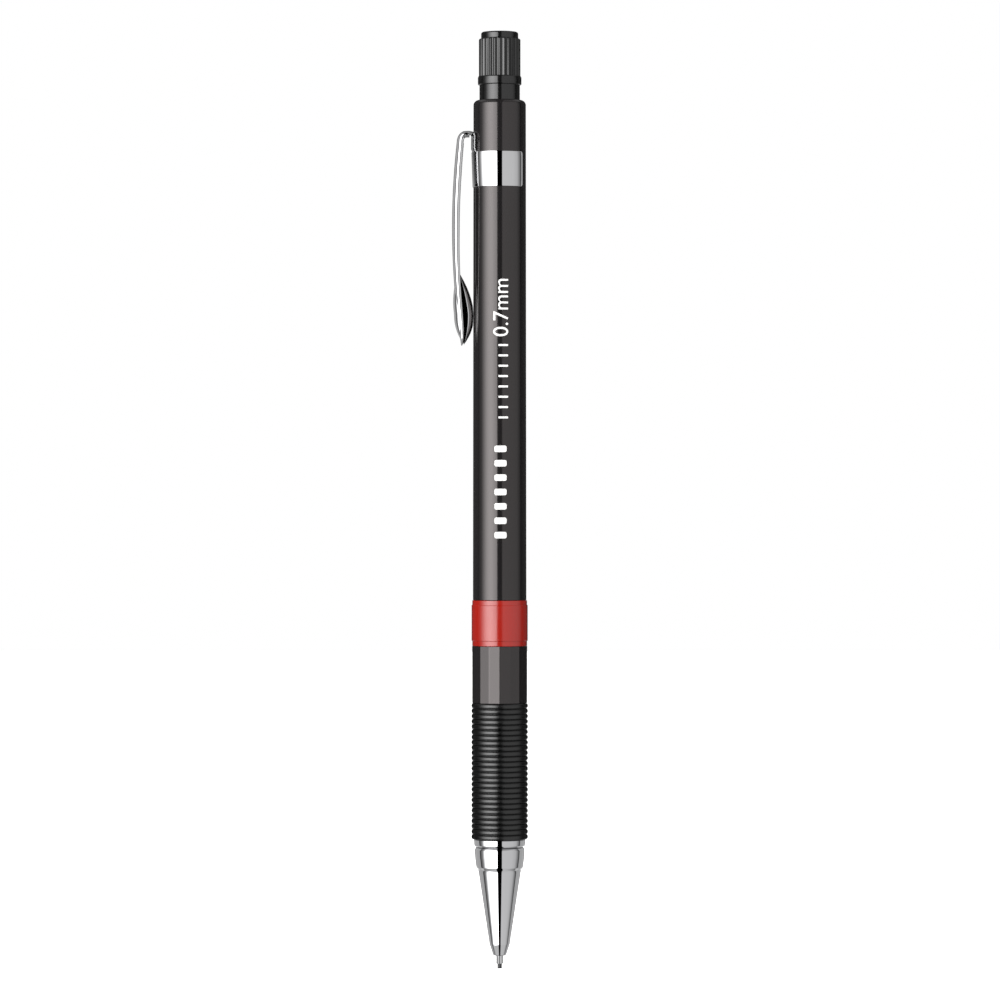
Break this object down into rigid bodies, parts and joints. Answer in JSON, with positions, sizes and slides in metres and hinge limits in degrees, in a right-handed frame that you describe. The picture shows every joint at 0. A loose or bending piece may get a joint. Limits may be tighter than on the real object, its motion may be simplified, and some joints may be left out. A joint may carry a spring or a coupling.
{
  "type": "mechanical pencil",
  "caption": "Slim push-button pencil for thin lead: chrome cone, ribbed rubber grip, faceted section, red collar, black barrel, sprung chrome clip and knurled cap over an eraser.",
  "frame": {"origin": "the lead's writing tip, on the axis of the pencil", "axes": "+Z along the pencil from the tip to the cap; the clip is on the -X side, in the XZ plane"},
  "size_m": [0.0115, 0.0086, 0.142],
  "materials": {
    "graphite": "satin",
    "steel": "polished",
    "chrome": "mirror",
    "grip_rubber": "satin moulded",
    "black_gloss": "gloss",
    "black_cap": "satin gloss",
    "red_gloss": "gloss",
    "brass": "machined",
    "natural_plastic": "matte",
    "soft_rubber": "matte",
    "eraser_vinyl": "matte",
    "aluminium": "satin"
  },
  "bodies": {
    "barrel_unit": {"barrel": "black_gloss", "colour_collar": "red_gloss", "front_section": "black_gloss", "front_ferrule": "chrome", "grip_sleeve": "grip_rubber", "clip_band": "chrome", "clutch_housing": "natural_plastic", "return_spring": "steel"},
    "nose_unit": {"nose_cone": "chrome", "guide_pipe": "steel", "lead_retainer": "soft_rubber"},
    "clip_lever": {"clip_arm": "chrome"},
    "push_unit": {"collet_base": "brass", "tube_connector": "natural_plastic", "lead_reservoir": "natural_plastic", "push_sleeve": "black_cap", "spare_lead_1": "graphite", "spare_lead_2": "graphite", "spare_lead_3": "graphite"},
    "ring": {"clutch_ring": "brass"},
    "lead_in_use": {"lead": "graphite"},
    "jaw_1": {"collet_jaw_1": "brass"},
    "jaw_2": {"collet_jaw_2": "brass"},
    "jaw_3": {"collet_jaw_3": "brass"},
    "cap": {"push_cap": "black_cap"},
    "eraser_unit": {"eraser": "eraser_vinyl", "eraser_cup": "aluminium"}
  },
  "joints": [
    {"name": "push", "type": "slide", "parent": "barrel_unit", "child": "push_unit", "axis": [0, 0, -1], "range_m": [0, 0.0021], "stiffness_N_per_m": 1500, "deforming": ["return_spring"]},
    {"name": "ring_travel", "type": "slide", "parent": "barrel_unit", "child": "ring", "axis": [0, 0, -1], "range_m": [0, 0.0007]},
    {"name": "lead_feed", "type": "slide", "parent": "barrel_unit", "child": "lead_in_use", "axis": [0, 0, -1], "range_m": [0, 0.0007]},
    {"name": "jaw_1_open", "type": "hinge", "parent": "push_unit", "child": "jaw_1", "pos_m": [0.0007, 0, 0.01802], "axis": [0, -1, 0], "range_deg": [0, 1.2]},
    {"name": "jaw_2_open", "type": "hinge", "parent": "push_unit", "child": "jaw_2", "pos_m": [-0.00035, 0.00061, 0.01802], "axis": [0.866, 0.5, 0], "range_deg": [0, 1.2]},
    {"name": "jaw_3_open", "type": "hinge", "parent": "push_unit", "child": "jaw_3", "pos_m": [-0.00035, -0.00061, 0.01802], "axis": [-0.866, 0.5, 0], "range_deg": [0, 1.2]},
    {"name": "cap_pull", "type": "slide", "parent": "push_unit", "child": "cap", "axis": [0, 0, 1], "range_m": [0, 0.012]},
    {"name": "eraser_pull", "type": "slide", "parent": "push_unit", "child": "eraser_unit", "axis": [0, 0, 1], "range_m": [0, 0.006]},
    {"name": "nose_unscrew", "type": "slide", "parent": "barrel_unit", "child": "nose_unit", "axis": [0, 0, -1], "range_m": [0, 0.012]},
    {"name": "clip_flex", "type": "hinge", "parent": "barrel_unit", "child": "clip_lever", "pos_m": [-0.00436, 0, 0.12657], "axis": [0, 1, 0], "range_deg": [0, 4], "stiffness_Nm_per_rad": 1.5}
  ],
  "couplings": [
    {"joint": "ring_travel", "follows": "push", "ratio": 0.333},
    {"joint": "lead_feed", "follows": "push", "ratio": 0.333},
    {"joint": "jaw_1_open", "follows": "push", "rad_per_m": 9.9},
    {"joint": "jaw_2_open", "follows": "push", "rad_per_m": 9.9},
    {"joint": "jaw_3_open", "follows": "push", "rad_per_m": 9.9},
    {"joint": "eraser_pull", "follows": "cap_pull", "ratio": 0.5}
  ]
}
